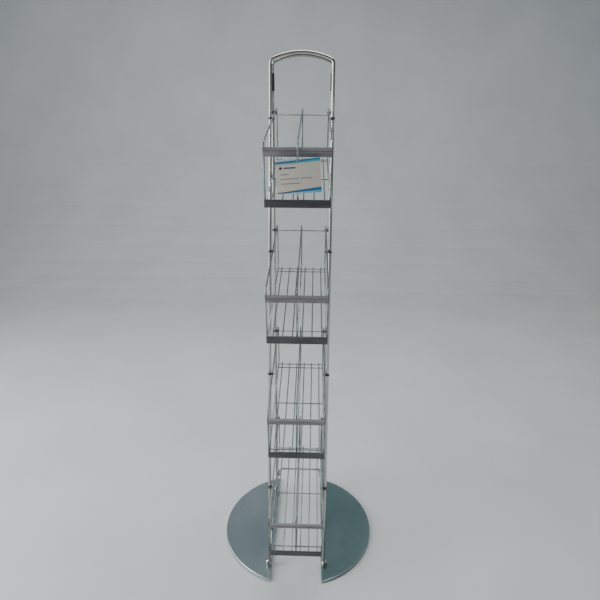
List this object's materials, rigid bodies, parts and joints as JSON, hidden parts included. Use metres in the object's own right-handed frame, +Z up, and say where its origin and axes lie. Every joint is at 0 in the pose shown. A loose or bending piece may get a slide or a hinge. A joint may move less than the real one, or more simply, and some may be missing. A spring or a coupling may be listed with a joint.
{
  "type": "tiered wire display rack",
  "caption": "Tall narrow wire display rack: arched hoop frames on half-moon base plates carry a column of sloping divided wire baskets that tilt up at the front, with a hanging sign card.",
  "frame": {"origin": "on the floor, under the middle of the whole rack's box", "axes": "+Z up, the baskets' front rails face -Y, +X to the viewer's right"},
  "size_m": [0.4, 0.3997, 1.2198],
  "materials": {
    "base_plate": "satin, mirror-like plate",
    "hoop_chrome": "bright plated bar",
    "basket_wire": "bright plated wire",
    "top_rail_metal": "satin grey",
    "lower_rail_metal": "satin grey",
    "rail_cap_plastic": "matt moulded",
    "hook_metal": "bright plated",
    "pin_metal": "dark collar",
    "foot_metal": "bright plated",
    "screw_metal": "zinc",
    "sleeve_plastic": "black",
    "pad_rubber": "matt",
    "card_print": null,
    "strap_plastic": "clear strap"
  },
  "bodies": {
    "stand": {"base_plate_left": "base_plate", "base_plate_right": "base_plate", "floor_pads": "pad_rubber", "leg_feet": "foot_metal", "foot_screws": "screw_metal", "front_hoop": "hoop_chrome", "rear_hoop": "hoop_chrome", "rear_stretcher": "hoop_chrome", "hoop_sleeves": "sleeve_plastic", "front_hanger_pins": "pin_metal", "rear_hanger_pins": "pin_metal"},
    "basket_1": {"basket_1_side_wires": "basket_wire", "basket_1_divider": "basket_wire", "basket_1_cross_wires": "basket_wire", "basket_1_floor_wires": "basket_wire", "basket_1_top_rail": "top_rail_metal", "basket_1_lower_rail": "lower_rail_metal", "basket_1_rail_caps": "rail_cap_plastic", "basket_1_hooks": "hook_metal", "card_strap": "strap_plastic"},
    "basket_2": {"basket_2_side_wires": "basket_wire", "basket_2_divider": "basket_wire", "basket_2_cross_wires": "basket_wire", "basket_2_floor_wires": "basket_wire", "basket_2_top_rail": "top_rail_metal", "basket_2_lower_rail": "lower_rail_metal", "basket_2_rail_caps": "rail_cap_plastic", "basket_2_hooks": "hook_metal"},
    "basket_3": {"basket_3_side_wires": "basket_wire", "basket_3_divider": "basket_wire", "basket_3_cross_wires": "basket_wire", "basket_3_floor_wires": "basket_wire", "basket_3_top_rail": "top_rail_metal", "basket_3_lower_rail": "lower_rail_metal", "basket_3_rail_caps": "rail_cap_plastic", "basket_3_hooks": "hook_metal"},
    "basket_4": {"basket_4_side_wires": "basket_wire", "basket_4_divider": "basket_wire", "basket_4_cross_wires": "basket_wire", "basket_4_floor_wires": "basket_wire", "basket_4_top_rail": "top_rail_metal", "basket_4_lower_rail": "lower_rail_metal", "basket_4_rail_caps": "rail_cap_plastic", "basket_4_hooks": "hook_metal"},
    "card": {"sign_card": "card_print", "card_bar": "hook_metal"}
  },
  "joints": [
    {"name": "basket_1_tilt", "type": "hinge", "parent": "stand", "child": "basket_1", "pos_m": [0, 0.11232, 1.09553], "axis": [-1, 0, 0], "range_deg": [0, 20]},
    {"name": "basket_2_tilt", "type": "hinge", "parent": "stand", "child": "basket_2", "pos_m": [0, 0.11884, 0.82], "axis": [-1, 0, 0], "range_deg": [0, 20]},
    {"name": "basket_3_tilt", "type": "hinge", "parent": "stand", "child": "basket_3", "pos_m": [0, 0.12536, 0.54447], "axis": [-1, 0, 0], "range_deg": [0, 20]},
    {"name": "basket_4_tilt", "type": "hinge", "parent": "stand", "child": "basket_4", "pos_m": [0, 0.13188, 0.26894], "axis": [-1, 0, 0], "range_deg": [0, 20]},
    {"name": "card_swing", "type": "hinge", "parent": "basket_1", "child": "card", "pos_m": [0, -0.19765, 1.003], "axis": [-1, 0, 0], "range_deg": [0, 60]}
  ]
}
